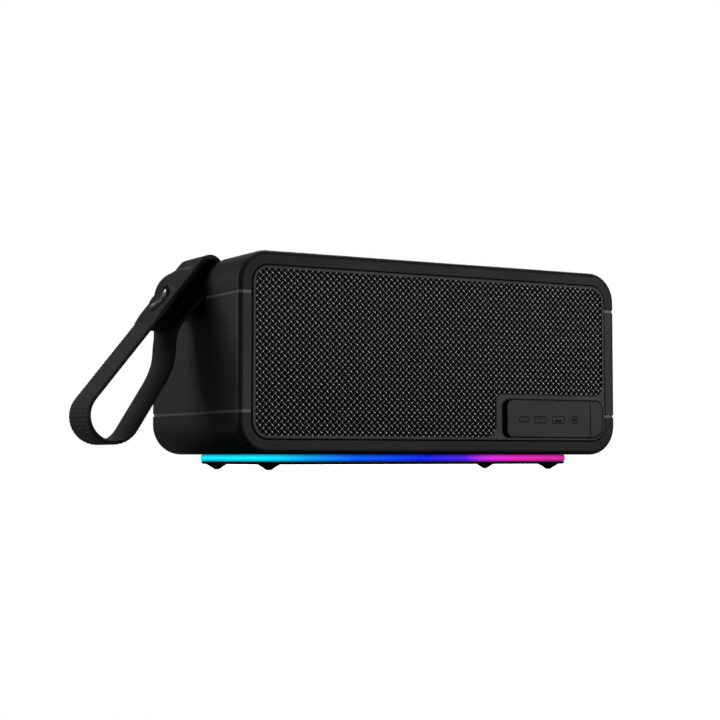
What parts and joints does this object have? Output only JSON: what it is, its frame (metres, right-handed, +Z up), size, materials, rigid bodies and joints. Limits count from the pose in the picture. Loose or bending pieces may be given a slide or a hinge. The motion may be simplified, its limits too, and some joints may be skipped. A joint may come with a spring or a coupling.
{
  "type": "portable speaker",
  "caption": "Portable wireless speaker with a woven front grille, a hinged port cover, top keys, a lit base ring and a carry strap.",
  "frame": {"origin": "centre of the footprint, on the plane that the feet stand on", "axes": "+X to the speaker's right seen from the front (the port cover's side), -Y out of the grille, +Z up"},
  "size_m": [0.2909, 0.1112, 0.1093],
  "materials": {
    "shell": "satin soft-touch",
    "side_panel": "satin soft-touch",
    "trim": "satin",
    "inner_plastic": "moulded",
    "frame": "satin",
    "mesh": "black powder coat",
    "cloth": "woven",
    "flap": "satin",
    "base": "fine texture",
    "light_guide": "frosted and lit",
    "led_strip": "satin",
    "rubber": "matte",
    "screws": "black oxide",
    "steel": "plated",
    "magnet": "ground",
    "basket": "stamped",
    "cone": "satin",
    "spider": "varnished",
    "coil": "enamelled copper",
    "diaphragm": "anodised",
    "board": "solder mask",
    "chips": "moulded",
    "connector": "plated",
    "connector_plastic": "moulded",
    "cell": "shrink wrap",
    "wire": "insulation",
    "webbing": "ribbed webbing",
    "strap_head": "satin",
    "core": "matte black",
    "stud": "gloss black",
    "key": "satin"
  },
  "bodies": {
    "body": {"top_shell": "shell", "bottom_shell": "shell", "left_side_panel": "side_panel", "right_side_panel": "side_panel", "side_trim_strips": "trim", "strap_housing": "core", "cabinet": "inner_plastic", "rear_panel": "shell", "rear_gasket": "rubber", "rear_panel_screws": "screws", "grille_frame": "frame", "grille_mesh": "mesh", "acoustic_cloth": "cloth", "port_flap_anchor": "flap", "io_board": "board", "usb_c_socket": "connector", "card_slot": "connector", "usb_a_socket": "connector", "aux_jack": "connector_plastic", "woofer_baskets": "basket", "woofer_gaskets": "rubber", "woofer_surrounds": "rubber", "woofer_spiders": "spider", "woofer_top_plates": "steel", "woofer_magnets": "magnet", "woofer_yokes": "steel", "woofer_screws": "screws", "passive_surround": "rubber", "main_board": "board", "board_components": "chips", "battery_cells": "cell", "battery_cradle": "inner_plastic", "wiring": "wire", "button_board": "board", "tact_switches": "chips", "base_plate": "base", "light_guide": "light_guide", "led_strip": "led_strip", "feet": "rubber", "base_screws": "screws", "strap_pin": "screws"},
    "strap": {"strap_webbing": "webbing", "strap_head": "strap_head", "press_stud": "stud", "strap_hub": "core"},
    "flap": {"port_flap": "flap"},
    "left_driver": {"left_cone": "cone", "left_dust_cap": "cone", "left_voice_coil": "coil"},
    "right_driver": {"right_cone": "cone", "right_dust_cap": "cone", "right_voice_coil": "coil"},
    "passive": {"passive_diaphragm": "diaphragm", "passive_weight": "steel"},
    "power_key": {"power_button": "key"},
    "mode_key": {"mode_button": "key"},
    "volume_down_key": {"volume_down_button": "key"},
    "play_key": {"play_button": "key"},
    "volume_up_key": {"volume_up_button": "key"},
    "light_key": {"light_button": "key"}
  },
  "joints": [
    {"name": "strap_swing", "type": "hinge", "parent": "body", "child": "strap", "pos_m": [-0.1114, 0, 0.0972], "axis": [0, 1, 0], "range_deg": [-12, 50]},
    {"name": "flap_hinge", "type": "hinge", "parent": "body", "child": "flap", "pos_m": [0.0973, -0.0556, 0.02], "axis": [0, 0, 1], "range_deg": [0, 150]},
    {"name": "left_cone_travel", "type": "slide", "parent": "body", "child": "left_driver", "axis": [0, 1, 0], "range_m": [-0.002, 0.002], "stiffness_N_per_m": 800},
    {"name": "right_cone_travel", "type": "slide", "parent": "body", "child": "right_driver", "axis": [0, 1, 0], "range_m": [-0.002, 0.002], "stiffness_N_per_m": 800},
    {"name": "passive_travel", "type": "slide", "parent": "body", "child": "passive", "axis": [0, 1, 0], "range_m": [-0.0025, 0.0025], "stiffness_N_per_m": 900},
    {"name": "power_press", "type": "slide", "parent": "body", "child": "power_key", "axis": [0, 0, -1], "range_m": [0, 0.0006], "stiffness_N_per_m": 800},
    {"name": "mode_press", "type": "slide", "parent": "body", "child": "mode_key", "axis": [0, 0, -1], "range_m": [0, 0.0006], "stiffness_N_per_m": 800},
    {"name": "volume_down_press", "type": "slide", "parent": "body", "child": "volume_down_key", "axis": [0, 0, -1], "range_m": [0, 0.0006], "stiffness_N_per_m": 800},
    {"name": "play_press", "type": "slide", "parent": "body", "child": "play_key", "axis": [0, 0, -1], "range_m": [0, 0.0006], "stiffness_N_per_m": 800},
    {"name": "volume_up_press", "type": "slide", "parent": "body", "child": "volume_up_key", "axis": [0, 0, -1], "range_m": [0, 0.0006], "stiffness_N_per_m": 800},
    {"name": "light_press", "type": "slide", "parent": "body", "child": "light_key", "axis": [0, 0, -1], "range_m": [0, 0.0006], "stiffness_N_per_m": 800}
  ]
}
